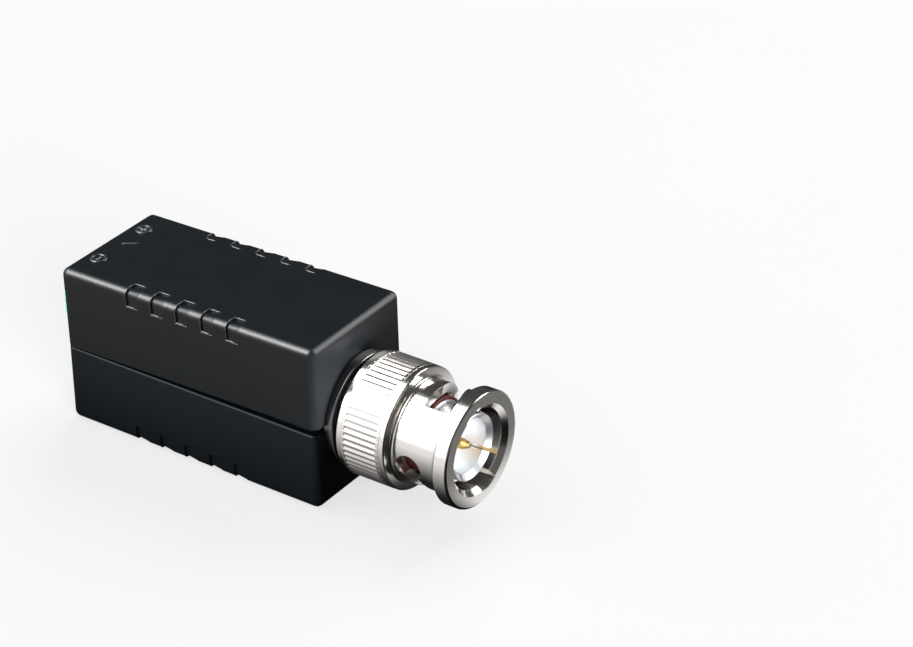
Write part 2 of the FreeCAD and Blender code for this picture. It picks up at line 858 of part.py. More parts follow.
pin = turned(
    [
        (-pin_back, 0.0),
        (-pin_back, pin_shank_radius),
        (insulator_end - pin_shank_setback, pin_shank_radius),
        (insulator_end - pin_shank_setback, pin_radius),
        (pin_end - pin_taper, pin_radius, pin_taper_round),
        (pin_end, pin_tip_radius, pin_tip_round),
        (pin_end, 0.0),
    ]
)
pin_tail = post(tail_x, 0.0, board_bottom - lead_length, axis_height, pin_tail_radius)
save("centre_pin", joined([pin, pin_tail]))

# Toroidal transformer
core_z0 = board_top + winding_sheet + seat_play
core_z1 = core_z0 + core_height
core = post(core_x, 0.0, core_z0, core_z1, core_outer)
core = core.cut(post(core_x, 0.0, core_z0 - overcut, core_z1 + overcut, core_inner))
core_rims = [e for e in core.Edges if len(e.Vertexes) == 1]
core = core.makeFillet(core_round, core_rims)
save("toroid_core", core)

gap = seat_play
r0 = core_inner - winding_sheet
r1 = core_outer + winding_sheet
z0 = core_z0 - winding_sheet
z1 = core_z1 + winding_sheet
winding_corners = ((r0, z0), (r1, z0), (r1, z1), (r0, z1))
outer_wire = outline([(core_x + reach, z, winding_round) for reach, z in winding_corners])
inner_wire = outline(
    [
        (core_x + core_inner - gap, core_z0 - gap),
        (core_x + core_outer + gap, core_z0 - gap),
        (core_x + core_outer + gap, core_z1 + gap),
        (core_x + core_inner - gap, core_z1 + gap),
    ]
)
winding_face = Part.Face(outer_wire).cut(Part.Face(inner_wire))
winding = winding_face.revolve(Vector(core_x, 0, 0), Vector(0, 0, 1), winding_sweep)
winding.rotate(Vector(core_x, 0, 0), Vector(0, 0, 1), -winding_sweep / 2.0)
save("toroid_winding", winding)

# Surge diode across the line
diode_z = board_top + diode_radius + seat_play
diode = Part.makeCylinder(
    diode_radius, diode_length, Vector(diode_x, -diode_length / 2.0, diode_z), Vector(0, 1, 0)
)
diode = diode.makeFillet(diode_round, [e for e in diode.Edges if len(e.Vertexes) == 1])
save("surge_diode", diode)

# Film capacitor and chip resistors
capacitor = box(
    capacitor_x - capacitor_depth / 2.0,
    capacitor_x + capacitor_depth / 2.0,
    -capacitor_length / 2.0,
    capacitor_length / 2.0,
    board_top,
    board_top + capacitor_height,
)
capacitor_middle = board_top + capacitor_height / 2.0
top_edges = [e for e in capacitor.Edges if min(v.Point.z for v in e.Vertexes) > capacitor_middle]
capacitor = capacitor.makeFillet(capacitor_round, top_edges)
save("film_capacitor", capacitor)

chips = []
for chip_side in (-1.0, 1.0):
    chip_y = chip_side * chip_spread
    chips.append(
        box(
            chip_x - chip_length / 2.0,
            chip_x + chip_length / 2.0,
            chip_y - chip_depth / 2.0,
            chip_y + chip_depth / 2.0,
            board_top,
            board_top + chip_height,
        )
    )
save("chip_resistors", Part.makeCompound(chips))
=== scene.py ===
# %% [markdown]
# # An inline video balun on a pale table
#
# The object joins a twisted pair to a coaxial socket. A black case is split along its middle, a
# nickel-plated bayonet plug stands on its front face, and a push-button terminal fills its back.
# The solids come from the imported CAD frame, in metres, with the case resting on the table. This
# notebook gives each of them its finish, adds the parts that only show close up, and sets the
# camera, the table and the light.

# %% The frame
import math

import bmesh
import bpy
import numpy as np
from mathutils import Matrix, Vector


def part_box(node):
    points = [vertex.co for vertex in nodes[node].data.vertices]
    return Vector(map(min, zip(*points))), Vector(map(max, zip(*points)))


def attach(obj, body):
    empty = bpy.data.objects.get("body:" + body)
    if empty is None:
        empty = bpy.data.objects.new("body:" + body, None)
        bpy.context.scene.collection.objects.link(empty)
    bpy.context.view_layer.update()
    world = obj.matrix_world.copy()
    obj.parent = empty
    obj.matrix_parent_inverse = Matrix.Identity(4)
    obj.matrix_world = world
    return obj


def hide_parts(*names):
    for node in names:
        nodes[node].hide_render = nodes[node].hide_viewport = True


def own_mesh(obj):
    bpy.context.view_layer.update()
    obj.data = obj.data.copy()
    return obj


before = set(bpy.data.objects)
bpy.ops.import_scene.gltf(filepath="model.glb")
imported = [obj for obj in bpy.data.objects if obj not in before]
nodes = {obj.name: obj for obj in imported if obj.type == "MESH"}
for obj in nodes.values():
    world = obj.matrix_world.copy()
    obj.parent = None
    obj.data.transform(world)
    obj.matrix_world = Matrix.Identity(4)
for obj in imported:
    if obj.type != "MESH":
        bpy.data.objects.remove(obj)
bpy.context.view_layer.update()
mm = 0.001
print("solids in the frame:", len(nodes))

# %% [markdown]
# ## Places read from the frame
#
# The case's front face and the plug's axis are all that the rest needs. Reading them from the
# solids keeps every added piece where the CAD says.

# %% Places
face_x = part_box("lower_shell")[1].x
ring_low, ring_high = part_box("coupling_ring")
axis_z = (ring_low.z + ring_high.z) / 2.0
print("front face at x = %.2f mm, plug axis at z = %.2f mm" % (face_x / mm, axis_z / mm))


# %% Into the scene
def linked(name, data):
    """An object for a mesh, a lamp or a lens, linked into the scene at the origin."""
    thing = bpy.data.objects.new(name, data)
    bpy.context.scene.collection.objects.link(thing)
    return thing


# %% [markdown]
# ## The camera
#
# The photograph was taken with a long lens from above and to the right, so its lines hardly
# converge. Its place was worked out from the corners of the case and the circles of the plug: two
# angles, a small roll, a distance, and the pixel in which one known point of the object lies. A
# camera at any other place would show the same object with other proportions, so nothing here is
# set by eye.

# %% Camera values
photo_width = 913
photo_height = 647
azimuth = math.radians(34.60)
elevation = math.radians(30.88)
roll = math.radians(-0.52)
lens_pixels = 3139.9
centre_pixel = (469.16, 335.25)
aim_pixel = (360.80, 412.28)
aim_distance = 0.36206
aim_height = 0.0090
sensor = 36.0
nearest_seen = 0.01
farthest_seen = 20.0
print("photograph of %d by %d pixels" % (photo_width, photo_height))


# %% Camera
def camera_axes(turn, rise, tilt):
    """
    Right, up and back of a camera. Back points from the aim to the camera; right is level; up is
    square to both. Then right and up roll by the tilt: cos times the one plus or minus sin times
    the other.
    """
    flat = math.cos(rise)
    back = Vector((math.sin(turn) * flat, -math.cos(turn) * flat, math.sin(rise)))
    level = (-back).cross(Vector((0, 0, 1))).normalized()
    upright = level.cross(-back)
    right = level * math.cos(tilt) + upright * math.sin(tilt)
    up = upright * math.cos(tilt) - level * math.sin(tilt)
    return right, up, back


right, up, back = camera_axes(azimuth, elevation, roll)
across = (aim_pixel[0] - centre_pixel[0]) / lens_pixels
down = (aim_pixel[1] - centre_pixel[1]) / lens_pixels
aim = Vector((face_x, 0.0, aim_height))

lens = bpy.data.cameras.new("photo_lens")
lens.sensor_width = sensor
lens.lens = lens_pixels / photo_width * sensor
lens.shift_x = 0.5 - centre_pixel[0] / photo_width
lens.shift_y = (centre_pixel[1] - photo_height / 2.0) / photo_width
lens.clip_start = nearest_seen
lens.clip_end = farthest_seen
pose = Matrix((right, up, back)).transposed().to_4x4()
pose.translation = aim + aim_distance * (back - right * across + up * down)
camera = linked("photo_camera", lens)
camera.matrix_world = pose
bpy.context.scene.camera = camera
print("camera %.0f mm from the plug, lens %.0f mm" % (aim_distance / mm, lens.lens))

# %% [markdown]
# ## Shader maths in words
#
# A finish is arithmetic on what a point of the surface knows: where it is, how it is turned, how
# noisy it is there. Blender writes each sum or product as a node, which soon hides the formula.
# The first class below wraps a socket so that the formula can be written in Python. The second
# holds a material while it is made, and every other node comes from its one method.


# %% Amounts
class Amount:
    """A number that varies over a surface. Sums and products of amounts add Math nodes."""

    def __init__(self, finish, socket):
        self.finish = finish
        self.socket = socket

    def joined(self, operation, first, second=0.0):
        values = {0: first, 1: second}
        return self.finish.node("ShaderNodeMath", {"operation": operation}, values)

    def __add__(self, other):
        return self.joined("ADD", self, other)

    def __sub__(self, other):
        return self.joined("SUBTRACT", self, other)

    def __mul__(self, other):
        return self.joined("MULTIPLY", self, other)

    def __radd__(self, other):
        return self.joined("ADD", other, self)

    def __rsub__(self, other):
        return self.joined("SUBTRACT", other, self)

    def __rmul__(self, other):
        return self.joined("MULTIPLY", other, self)

    def sine(self):
        return self.joined("SINE", self)

    def step(self, low, high):
        """0 below low, 1 above high and a smooth rise between them."""
        values = {"Value": self, "From Min": low, "From Max": high}
        settings = {"interpolation_type": "SMOOTHSTEP"}
        return self.finish.node("ShaderNodeMapRange", settings, values)


print("amounts ready")


# %% Finishes under construction
bevel_samples = 6


class Finish:
    """A material, or the sky: makes nodes, links them and ends in one shader."""

    def __init__(self, name, world=False):
        self.material = (bpy.data.worlds if world else bpy.data.materials).new(name)
        self.material.use_nodes = True
        self.tree = self.material.node_tree
        self.tree.nodes.clear()
        ending = "ShaderNodeOutputWorld" if world else "ShaderNodeOutputMaterial"
        self.output = self.tree.nodes.new(ending)

    def node(self, kind, settings=None, inputs=None, output=0):
        """Adds a node, sets its settings first, then its sockets, and returns an output."""
        made = self.tree.nodes.new(kind)
        for key, value in (settings or {}).items():
            if key == "stops":
                self.set_stops(made.color_ramp, value)
            else:
                setattr(made, key, value)
        for key, value in (inputs or {}).items():
            self.feed(made.inputs[key], value)
        return Amount(self, made.outputs[output])

    def feed(self, socket, value):
        """Links an amount to a socket, or writes a plain value; a colour gets its alpha."""
        if isinstance(value, Amount):
            self.tree.links.new(value.socket, socket)
        elif socket.type == "RGBA":
            socket.default_value = (*value, 1.0)
        else:
            socket.default_value = value

    def set_stops(self, ramp, stops):
        """Writes (place, colour) stops into a colour ramp."""
        while len(ramp.elements) > 1:
            ramp.elements.remove(ramp.elements[-1])
        for index, (place, colour) in enumerate(stops):
            stop = ramp.elements[0] if index == 0 else ramp.elements.new(place)
            stop.position = place
            stop.color = (*colour, 1.0)

    def place(self):
        """Where the point is on the object, in metres."""
        return self.node("ShaderNodeTexCoord", output="Object")

    def parts(self, vector):
        """The three coordinates of a vector, as amounts."""
        split = self.node("ShaderNodeSeparateXYZ", inputs={0: vector}).socket.node
        return [Amount(self, coordinate) for coordinate in split.outputs]

    def noise(self, grain, detail=2.0, vector=None, roughness=0.5):
        """Smooth noise from 0 to 1 whose lumps are about grain metres across."""
        where = vector or self.place()
        values = {"Vector": where, "Scale": 1.0 / grain, "Detail": detail, "Roughness": roughness}
        return self.node("ShaderNodeTexNoise", inputs=values)

    def bump(self, height, distance, normal=None):
        """A normal bent by a height, where a height of 1 stands distance metres proud."""
        values = {"Height": height, "Distance": distance}
        if normal is not None:
            values["Normal"] = normal
        return self.node("ShaderNodeBump", inputs=values)

    def rounded(self, radius):
        """A normal that turns smoothly over sharp edges, as a worn or moulded edge does."""
        return self.node("ShaderNodeBevel", {"samples": bevel_samples}, {"Radius": radius})

    def mix(self, share, first, second):
        """
        A colour that goes from first to second as share goes from 0 to 1. Of a Mix node's sockets,
        0 is the share, 6 and 7 are its two colours, and its output 2 is a colour.
        """
        values = {0: share, 6: first, 7: second}
        return self.node("ShaderNodeMix", {"data_type": "RGBA"}, values, output=2)

    def principled(self, **sockets):
        """A Principled shader; names are the sockets' own, with _ for a space."""
        values = {key.replace("_", " "): value for key, value in sockets.items()}
        return self.node("ShaderNodeBsdfPrincipled", inputs=values)

    def end(self, shader):
        """Ends the material, or the sky, in the given shader."""
        self.tree.links.new(shader.socket, self.output.inputs["Surface"])
        return self.material

    def surface(self, **sockets):
        """Ends the material in one Principled shader."""
        return self.end(self.principled(**sockets))


print("finishes can be made")


# %% Two small helpers
def darker(colour, share):
    """The colour with a share of its light taken off: each part times one minus the share."""
    return tuple(part * (1.0 - share) for part in colour)


def tell(kind, *made):
    """Prints what kind of finishes a cell has made, and their names."""
    print(kind + ":", ", ".join(finish.name for finish in made))


print("half of white:", darker((1.0, 1.0, 1.0), 0.5))

# %% [markdown]
# ## The case's black plastic
#
# The case is moulded in a mould whose faces were spark-eroded, so the plastic has an even fine
# grain: lumps a sixth of a millimetre across and a few micrometres high. They break up the
# reflections into a soft sheen. The black has a little blue in it. Moulded edges are never sharp,
# so the normal turns smoothly over each of them and gives it a thin light line.

# %% Case plastic
deep_black = (0.0004, 0.0008, 0.0012)
greyed_black = (0.0008, 0.0013, 0.0018)
blotch_size = 4.0 * mm
grain_size = 0.16 * mm
fine_size = 0.05 * mm
fine_share = 0.4
grain_depth = 0.005 * mm
moulded_edge = 0.16 * mm


def case_plastic():
    """
    Black with slow blotches. Roughness is a base plus a little of the blotches and of the grain;
    height is the grain plus a share of a finer one.
    """
    finish = Finish("case_black_plastic")
    blotch = finish.noise(blotch_size, detail=3.0)
    grain = finish.noise(grain_size, detail=2.0, roughness=0.6)
    fine = finish.noise(fine_size, detail=1.0)
    edge = finish.rounded(moulded_edge)
    return finish.surface(
        Base_Color=finish.mix(blotch, deep_black, greyed_black),
        Roughness=0.33 + 0.06 * blotch + 0.06 * grain,
        Specular_IOR_Level=0.18,
        Normal=finish.bump(grain + fine_share * fine, grain_depth, edge),
    )


case_finish = case_plastic()
tell("plastic", case_finish)

# %% Rubbed plastic, lighter as a painted highlight
# The two lighter blacks are partly real polish and partly a painted highlight on the raised lines.
rubbed_highlit_black = (0.0040, 0.0046, 0.0052)
polished_highlit_black = (0.0060, 0.0068, 0.0074)
wear_size = 0.5 * mm


def rubbed_and_highlit_plastic():
    """The same plastic, polished by hands on its raised lines: smoother and clearer. Its lighter
    colour is a painted highlight.
    """
    finish = Finish("case_rubbed_plastic")
    wear = finish.noise(wear_size, detail=2.0)
    return finish.surface(
        Base_Color=finish.mix(wear, rubbed_highlit_black, polished_highlit_black),
        Roughness=0.27 + 0.10 * wear,
        Specular_IOR_Level=0.26,
    )


rubbed_and_highlit_finish = rubbed_and_highlit_plastic()
tell("rubbed plastic", rubbed_and_highlit_finish)

# %% [markdown]
# ## Nickel plate
#
# The plug is turned from brass and plated with bright nickel. Nickel is a slightly warm mirror. It
# is blurred a little by turning marks, which run round the axis, so their height depends almost
# only on the place along the axis, and by a slow waviness. The ring is the clearest mirror, its
# knurl scatters more light, and the contact sleeve inside it is a cooler satin.

# %% Nickel finishes
turning_pitch = 0.06 * mm
round_share = 0.02
wave_size = 1.6 * mm
wave_share = 0.6
nickel_depth = 0.004 * mm
nickel_edge = 0.05 * mm


def nickel(name, base, roughness, turning, cloud_share):
    """
    Metal that reads as turned. Height is the turning marks, noise stretched round the axis, times
    their share, plus the waves times theirs. Roughness and colour follow the waves.
    """
    finish = Finish(name)
    where = finish.place()
    along, side, height = finish.parts(where)
    slow = {"X": along, "Y": side * round_share, "Z": height * round_share}
    stretched = finish.node("ShaderNodeCombineXYZ", inputs=slow)
    marks = finish.noise(turning_pitch, detail=2.0, vector=stretched)
    waves = finish.noise(wave_size, detail=3.0, vector=where)
    edge = finish.rounded(nickel_edge)
    return finish.surface(
        Base_Color=finish.mix(waves, base, darker(base, cloud_share)),
        Metallic=1.0,
        Roughness=roughness + 0.05 * waves,
        Normal=finish.bump(marks * turning + waves * wave_share, nickel_depth, edge),
    )


# Each: base colour, roughness, share of the turning marks, share of light that the waves take off.
ring_finish = nickel("ring_nickel", (0.80, 0.775, 0.735), 0.13, 0.5, 0.06)
body_finish = nickel("body_nickel", (0.82, 0.80, 0.77), 0.20, 0.7, 0.05)
sleeve_finish = nickel("sleeve_satin", (0.88, 0.895, 0.92), 0.34, 0.3, 0.04)
knurl_finish = nickel("knurl_nickel", (0.84, 0.80, 0.77), 0.31, 0.5, 0.04)
tell("nickel", ring_finish, body_finish, sleeve_finish, knurl_finish)

# %% [markdown]
# ## Gold, springs, contacts
#
# The pin carries the signal, so it is gold-plated. The mounting ring is a dark metal, much darker
# than the plug's nickel. The springs and contacts are hidden in use, but they are seen through the
# wire holes and in the opened model, so they get their own metals too.

# %% Other metals
lump_depth = 0.004 * mm
lump_dark = 0.14


def plain_metal(name, base, roughness, grain):
    """Metal with fine lumps of the given size that vary its colour, its gloss and its height."""
    finish = Finish(name)
    lumps = finish.noise(grain, detail=3.0)
    return finish.surface(
        Base_Color=finish.mix(lumps, base, darker(base, lump_dark)),
        Metallic=1.0,
        Roughness=roughness + 0.12 * lumps,
        Normal=finish.bump(lumps, lump_depth),
    )


# Each: base colour, roughness, size of the lumps.
gold_finish = plain_metal("pin_gold", (0.92, 0.63, 0.22), 0.20, 0.3 * mm)
spring_finish = plain_metal("spring_steel", (0.56, 0.55, 0.53), 0.30, 0.25 * mm)
# The mounting ring's metal is simply made dark, much darker than the plug's nickel.
mount_finish = plain_metal("mount_black_nickel", (0.16, 0.16, 0.165), 0.16, 0.4 * mm)
tin_finish = plain_metal("contact_tin", (0.72, 0.71, 0.68), 0.34, 0.3 * mm)
winding_finish = plain_metal("winding_copper", (0.62, 0.22, 0.08), 0.22, 0.5 * mm)
tell("other metals", gold_finish, spring_finish, mount_finish, tin_finish, winding_finish)

# %% [markdown]
# ## Moulded plastics and rubber
#
# One recipe serves the gasket, the insulator, the green block and its buttons: a base colour with
# slow clouding, a fine grain as height, and a gloss of its own. Only the numbers differ. The
# ferrite, resin and ceramic on the board are pressed or dipped, and the same recipe fits them.

# %% Moulded finishes
cloud_size = 1.8 * mm
part_edge = 0.04 * mm
light_depth = 0.4 * mm


def moulded(name, base, roughness, grain, depth, cloud_share=0.12, subsurface=0.0):
    """Base colour darkened by clouds, and a grain of the given size and depth as height."""
    finish = Finish(name)
    cloud = finish.noise(cloud_size, detail=3.0)
    lumps = finish.noise(grain, detail=2.0)
    return finish.surface(
        Base_Color=finish.mix(cloud, base, darker(base, cloud_share)),
        Roughness=roughness + 0.08 * lumps,
        Subsurface_Weight=subsurface,
        Subsurface_Scale=light_depth,
        Normal=finish.bump(lumps, depth, finish.rounded(part_edge)),
    )


# Each: base colour, roughness, size and depth of the grain, then share of the clouds and of light
# that goes under the skin, where they differ from the usual.
gasket_red = (0.085, 0.008, 0.008)
cool_white = (0.94, 0.95, 0.96)
mint = (0.45, 0.80, 0.63)
gasket_finish = moulded("gasket_red_silicone", gasket_red, 0.45, 0.12 * mm, 0.006 * mm)
insulator_finish = moulded("insulator_white", cool_white, 0.35, 0.2 * mm, 0.003 * mm, 0.04, 0.1)
block_finish = moulded("terminal_green", (0.045, 0.30, 0.13), 0.36, 0.15 * mm, 0.005 * mm)
button_finish = moulded("button_mint", mint, 0.34, 0.15 * mm, 0.005 * mm, 0.08, 0.1)
core_finish = moulded("core_ferrite", (0.035, 0.036, 0.04), 0.62, 0.08 * mm, 0.01 * mm)
epoxy_finish = moulded("diode_epoxy", (0.018, 0.018, 0.02), 0.38, 0.1 * mm, 0.004 * mm)
resin_finish = moulded("capacitor_resin", (0.34, 0.04, 0.02), 0.22, 0.5 * mm, 0.02 * mm)
chip_finish = moulded("chip_ceramic", (0.03, 0.03, 0.034), 0.3, 0.1 * mm, 0.003 * mm)
tell("plug", gasket_finish, insulator_finish)
tell("terminal", block_finish, button_finish)
tell("board's parts", core_finish, epoxy_finish, resin_finish, chip_finish)

# %% [markdown]
# ## The board
#
# The board is shut in the case and shows only in an opened model, where it should still read as
# what it is: green mask over glass cloth, whose weave just shows as a grid of low waves.

# %% Board finish
cloth_pitch = 0.5 * mm
weave_depth = 0.01 * mm
mask_dark = (0.012, 0.085, 0.035)
mask_light = (0.018, 0.115, 0.05)


def board_mask():
    """Weave = half of the product of a sine along the board and one across it, plus a half."""
    finish = Finish("board_green")
    along, side = finish.parts(finish.place())[:2]
    thread = 2.0 * math.pi / cloth_pitch
    weave = (along * thread).sine() * (side * thread).sine() * 0.5 + 0.5
    return finish.surface(
        Base_Color=finish.mix(weave, mask_dark, mask_light),
        Roughness=0.32,
        Normal=finish.bump(weave, weave_depth),
    )


board_finish = board_mask()
tell("board", board_finish)

# %% [markdown]
# ## Finishes onto the solids
#
# The solids come from the frame with plain materials. Each keeps its shape and gets its finish by
# name, hidden ones too, because the model can be opened.

# %% One finish for each solid
finishes = {
    "lower_shell": case_finish,
    "upper_shell": case_finish,
    "circuit_board": board_finish,
    "terminal_block": block_finish,
    "terminal_button_plus": button_finish,
    "terminal_button_minus": button_finish,
    "clamp_spring_plus": spring_finish,
    "clamp_spring_minus": spring_finish,
    "contact_plus": tin_finish,
    "contact_minus": tin_finish,
    "plug_body": sleeve_finish,
    "mount_ring": mount_finish,
    "panel_nut": body_finish,
    "coupling_ring": ring_finish,
    "retaining_clip": spring_finish,
    "wave_washer": spring_finish,
    "gasket": gasket_finish,
    "insulator": insulator_finish,
    "centre_pin": gold_finish,
    "toroid_core": core_finish,
    "toroid_winding": winding_finish,
    "surge_diode": epoxy_finish,
    "film_capacitor": resin_finish,
    "chip_resistors": chip_finish,
}
for name, finish in finishes.items():
    nodes[name].data.materials.clear()
    nodes[name].data.materials.append(finish)
print("finishes given:", len(finishes), "of", len(nodes))

# %% [markdown]
# ## Surfaces from arrays
#
# Every piece that this notebook adds, but for the springs, is a grid of points: one index runs
# along a path, the other round a section. The helpers below join such a grid into faces. Where the
# path is open, its first and last rings have shrunk to a point, so the skin is closed. The sign of
# the enclosed volume tells whether the faces look outwards, and turns them if not.


# %% Faces of a grid
def outward_faces(grid, closed):
    """
    Joins neighbouring rings of one grid by faces of four corners. Volume is a sixth of the sum,
    over triangles, of the first corner times the cross product of the other two; where it is
    negative the faces are inside out and their corners are taken the other way round.
    """
    along, around = grid.shape[:2]
    index = np.arange(along * around).reshape(along, around)
    rings = np.concatenate([index, index[:1]]) if closed else index
    near = rings[:-1]
    far = rings[1:]
    quads = np.stack([near, np.roll(near, -1, 1), np.roll(far, -1, 1), far], -1).reshape(-1, 4)
    first, second, third, fourth = np.moveaxis(grid.reshape(-1, 3)[quads], 1, 0)
    volume = np.einsum("ij,ij->", first, np.cross(second, third))
    volume += np.einsum("ij,ij->", first, np.cross(third, fourth))
    return quads[:, ::-1] if volume < 0.0 else quads


tube = np.array([[[0, 0, 0], [1, 0, 0], [0, 1, 0]], [[0, 0, 1], [1, 0, 1], [0, 1, 1]]])
print("faces round a three-sided tube:", len(outward_faces(tube, False)))


# %% Joined points
def weld(mesh, reach, sliver=0.0):
    """Joins points within reach of each other; dissolves edges shorter than a sliver, if given."""
    shape = bmesh.new()
    shape.from_mesh(mesh)
    bmesh.ops.remove_doubles(shape, verts=shape.verts, dist=reach)
    if sliver:
        bmesh.ops.dissolve_degenerate(shape, edges=shape.edges, dist=sliver)
    shape.to_mesh(mesh)
    shape.free()


grid_reach = 1e-8
grid_sliver = 1e-9
print("grid points are joined within %g m" % grid_reach)


# %% Grids to a piece
def skin(grids, name, finish, body):
    """
    One piece from several grids. A grid has shape (along, around, 3) and comes with a flag that
    says whether its path closes.
    """
    points = []
    faces = []
    offset = 0
    for grid, closed in grids:
        points.append(grid.reshape(-1, 3))
        faces.append(outward_faces(grid, closed) + offset)
        offset += len(points[-1])
    mesh = bpy.data.meshes.new(name)
    mesh.from_pydata(np.concatenate(points).tolist(), [], np.concatenate(faces).tolist())
    weld(mesh, grid_reach, grid_sliver)
    mesh.polygons.foreach_set("use_smooth", np.ones(len(mesh.polygons), dtype=bool))
    mesh.materials.append(finish)
    mesh.update()
    piece = linked(name, mesh)
    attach(piece, body)
    print(name, "has", len(mesh.polygons), "faces")
    return piece


# %% [markdown]
# ## Flat beads
#
# The marks on the lid and the lips round the grips are thin raised lines, and the thin light along
# each of them is the mirror image of a lamp in its rounded back; on the lid, their lighter colour
# adds a painted highlight. A bead is drawn flat first, as a path in a plane with half an ellipse
# standing on it, and is then laid onto the case by a rule of its own for each surface.

# %% Beads
bead_sides = 12
taper_steps = 4.0


def bead(path, half_width, height, sunk, closed=False):
    """
    Flat bead: at each path point the section is across times cos and up times sin of an angle that
    goes round, with the height above the surface and the sunk depth below it. Open ends shrink to a
    point over the last few steps.
    """
    if closed:
        tangent = np.roll(path, -1, 0) - np.roll(path, 1, 0)
        size = np.ones(len(path))
    else:
        tangent = np.gradient(path, axis=0)
        step = np.minimum(np.arange(len(path)), np.arange(len(path))[::-1])
        size = np.sin(np.clip(step / taper_steps, 0.0, 1.0) * math.pi / 2.0)
    tangent = tangent / np.linalg.norm(tangent, axis=1, keepdims=True)
    across = np.stack([-tangent[:, 1], tangent[:, 0]], -1)
    turn = np.linspace(0.0, 2.0 * math.pi, bead_sides, endpoint=False)
    reach = half_width * size[:, None] * np.cos(turn)
    flat = path[:, None, :] + across[:, None, :] * reach[:, :, None]
    rise = np.where(np.sin(turn) > 0.0, height, sunk) * size[:, None] * np.sin(turn)
    return np.concatenate([flat, rise[:, :, None]], -1)


print("sides of a bead:", bead_sides)


# %% Paths
def line(start, end, count=24):
    """Evenly spaced points: one minus the share times the start, plus the share times the end."""
    share = np.linspace(0.0, 1.0, count)[:, None]
    return (1.0 - share) * np.array(start) + share * np.array(end)


def bend(centre, radius, first, last, count=14):
    """Points on an arc, by angles in degrees: the centre plus the radius times cos and sin."""
    angle = np.radians(np.linspace(first, last, count))
    return np.array(centre) + radius * np.stack([np.cos(angle), np.sin(angle)], -1)


print("points on a line and on an arc:", len(line((0, 0), (1, 0))), len(bend((0, 0), 1, 0, 90)))

# %% [markdown]
# ## The lid's own plane
#
# The seam stands open at the plug end, so the lid is tipped by about one degree about its rear
# lower edge. Marks and upper grips are laid on an untipped lid first and then tipped with it, the
# way the lid itself was.

# %% Lid
case_length = 37.0 * mm
seam_height = 9.96 * mm
seam_gap = 0.7 * mm
lid_height = 20.41 * mm
lid_tilt = math.atan2(seam_gap, case_length)
back_x = face_x - case_length


def tip(points):
    """Turns points about the lid's rear lower edge: x and z mix by cos and sin of the tilt."""
    along = points[..., 0] - back_x
    rise = points[..., 2] - seam_height
    x = back_x + along * math.cos(lid_tilt) - rise * math.sin(lid_tilt)
    z = seam_height + along * math.sin(lid_tilt) + rise * math.cos(lid_tilt)
    return np.stack([x, points[..., 1], z], -1)


print("lid tipped by %.2f degrees" % math.degrees(lid_tilt))

# %% [markdown]
# ## Marks on the lid
#
# The lid tells the two wires apart by a minus and a plus, each in a ring, with a slash between
# them. The solid has them as raised strokes with sharp edges. A bead laid over each stroke gives it
# the rounded back of a moulded line, which is what catches the light.

# %% Marks
mark_x = back_x + 2.4 * mm
mark_y = 4.2 * mm
mark_arm = 0.60 * mm
mark_half = 0.20 * mm
mark_rise = 0.205 * mm
mark_radius = 0.87 * mm
mark_points = 48
slash_middle = np.array([back_x + 3.3 * mm, 0.6 * mm])
slash_half = 1.15 * mm
slash_angle = math.radians(32.0)


def stroke(path, closed=False):
    """One bead laid on the lid: its plane is the top face and its height is up."""
    flat = bead(path, mark_half, mark_rise, mark_rise, closed)
    return tip(flat + np.array([0.0, 0.0, lid_height])), closed


marks = []
last_angle = 360.0 - 360.0 / mark_points
minus_centre = np.array([mark_x, -mark_y])
plus_centre = np.array([mark_x, mark_y])
for centre in (minus_centre, plus_centre):
    marks.append(stroke(bend(centre, mark_radius, 0.0, last_angle, mark_points), True))
    marks.append(stroke(line(centre - (0, mark_arm), centre + (0, mark_arm))))
marks.append(stroke(line(plus_centre - (mark_arm, 0), plus_centre + (mark_arm, 0))))
slash_reach = slash_half * np.array([math.cos(slash_angle), math.sin(slash_angle)])
marks.append(stroke(line(slash_middle - slash_reach, slash_middle + slash_reach)))
# The marks take the rubbed plastic, whose lighter colour is a painted highlight.
skin(marks, "lid_marks", rubbed_and_highlit_finish, "balun")

# %% [markdown]
# ## Lips round the grips
#
# Each grip is a shallow scoop across a long edge, deepest at its rear end, where it stops at a
# wall. A thin lip follows that wall: along the top face, round a corner, over the rounded edge,
# down the side and round a smaller corner. The path is drawn on the unrolled skin of the case,
# whose second coordinate is the length measured over the edge, and is then rolled back over it.

# %% Over the edge
edge_radius = 0.95 * mm
case_half = 8.5 * mm
grip_face_run = 1.0 * mm
edge_run = edge_radius * math.pi / 2.0
lip_half = 0.12 * mm
lip_rise = 0.07 * mm
lip_sunk = 0.42 * mm


def over_edge(flat, side, face_height, inward):
    """
    Rolls a flat bead over a long edge. The unrolled length runs over the closed face, then over the
    quarter circle of the edge, then down the side; height is measured along the outward normal of
    whichever it is on, and sinks by the lip's own height on the way, by the square of the sine, so
    that nothing stands out past the case's sides.
    """
    along, run, rise = flat[..., 0], flat[..., 1], flat[..., 2]
    angle = np.clip((run - grip_face_run) / edge_radius, 0.0, math.pi / 2.0)
    before = np.minimum(run, grip_face_run)
    after = np.maximum(run - grip_face_run - edge_run, 0.0)
    out = edge_radius + rise - lip_rise * np.sin(angle) ** 2
    y = case_half - edge_radius - grip_face_run + before + out * np.sin(angle)
    z = -edge_radius + out * np.cos(angle) - after
    return np.stack([along, side * y, face_height - inward * z], -1)


print("length over a rounded edge: %.2f mm" % (edge_run / mm))

# %% Lip paths
grip_count = 5
grip_pitch = 3.68 * mm
grip_start = back_x + 9.85 * mm
grip_run = grip_face_run + edge_run + 1.2 * mm
top_corner = 0.65 * mm
foot_corner = 0.25 * mm
after_corner = 0.03 * mm
top_reach = 1.75 * mm
foot_reach = 1.45 * mm
floor_run = 1.35 * mm


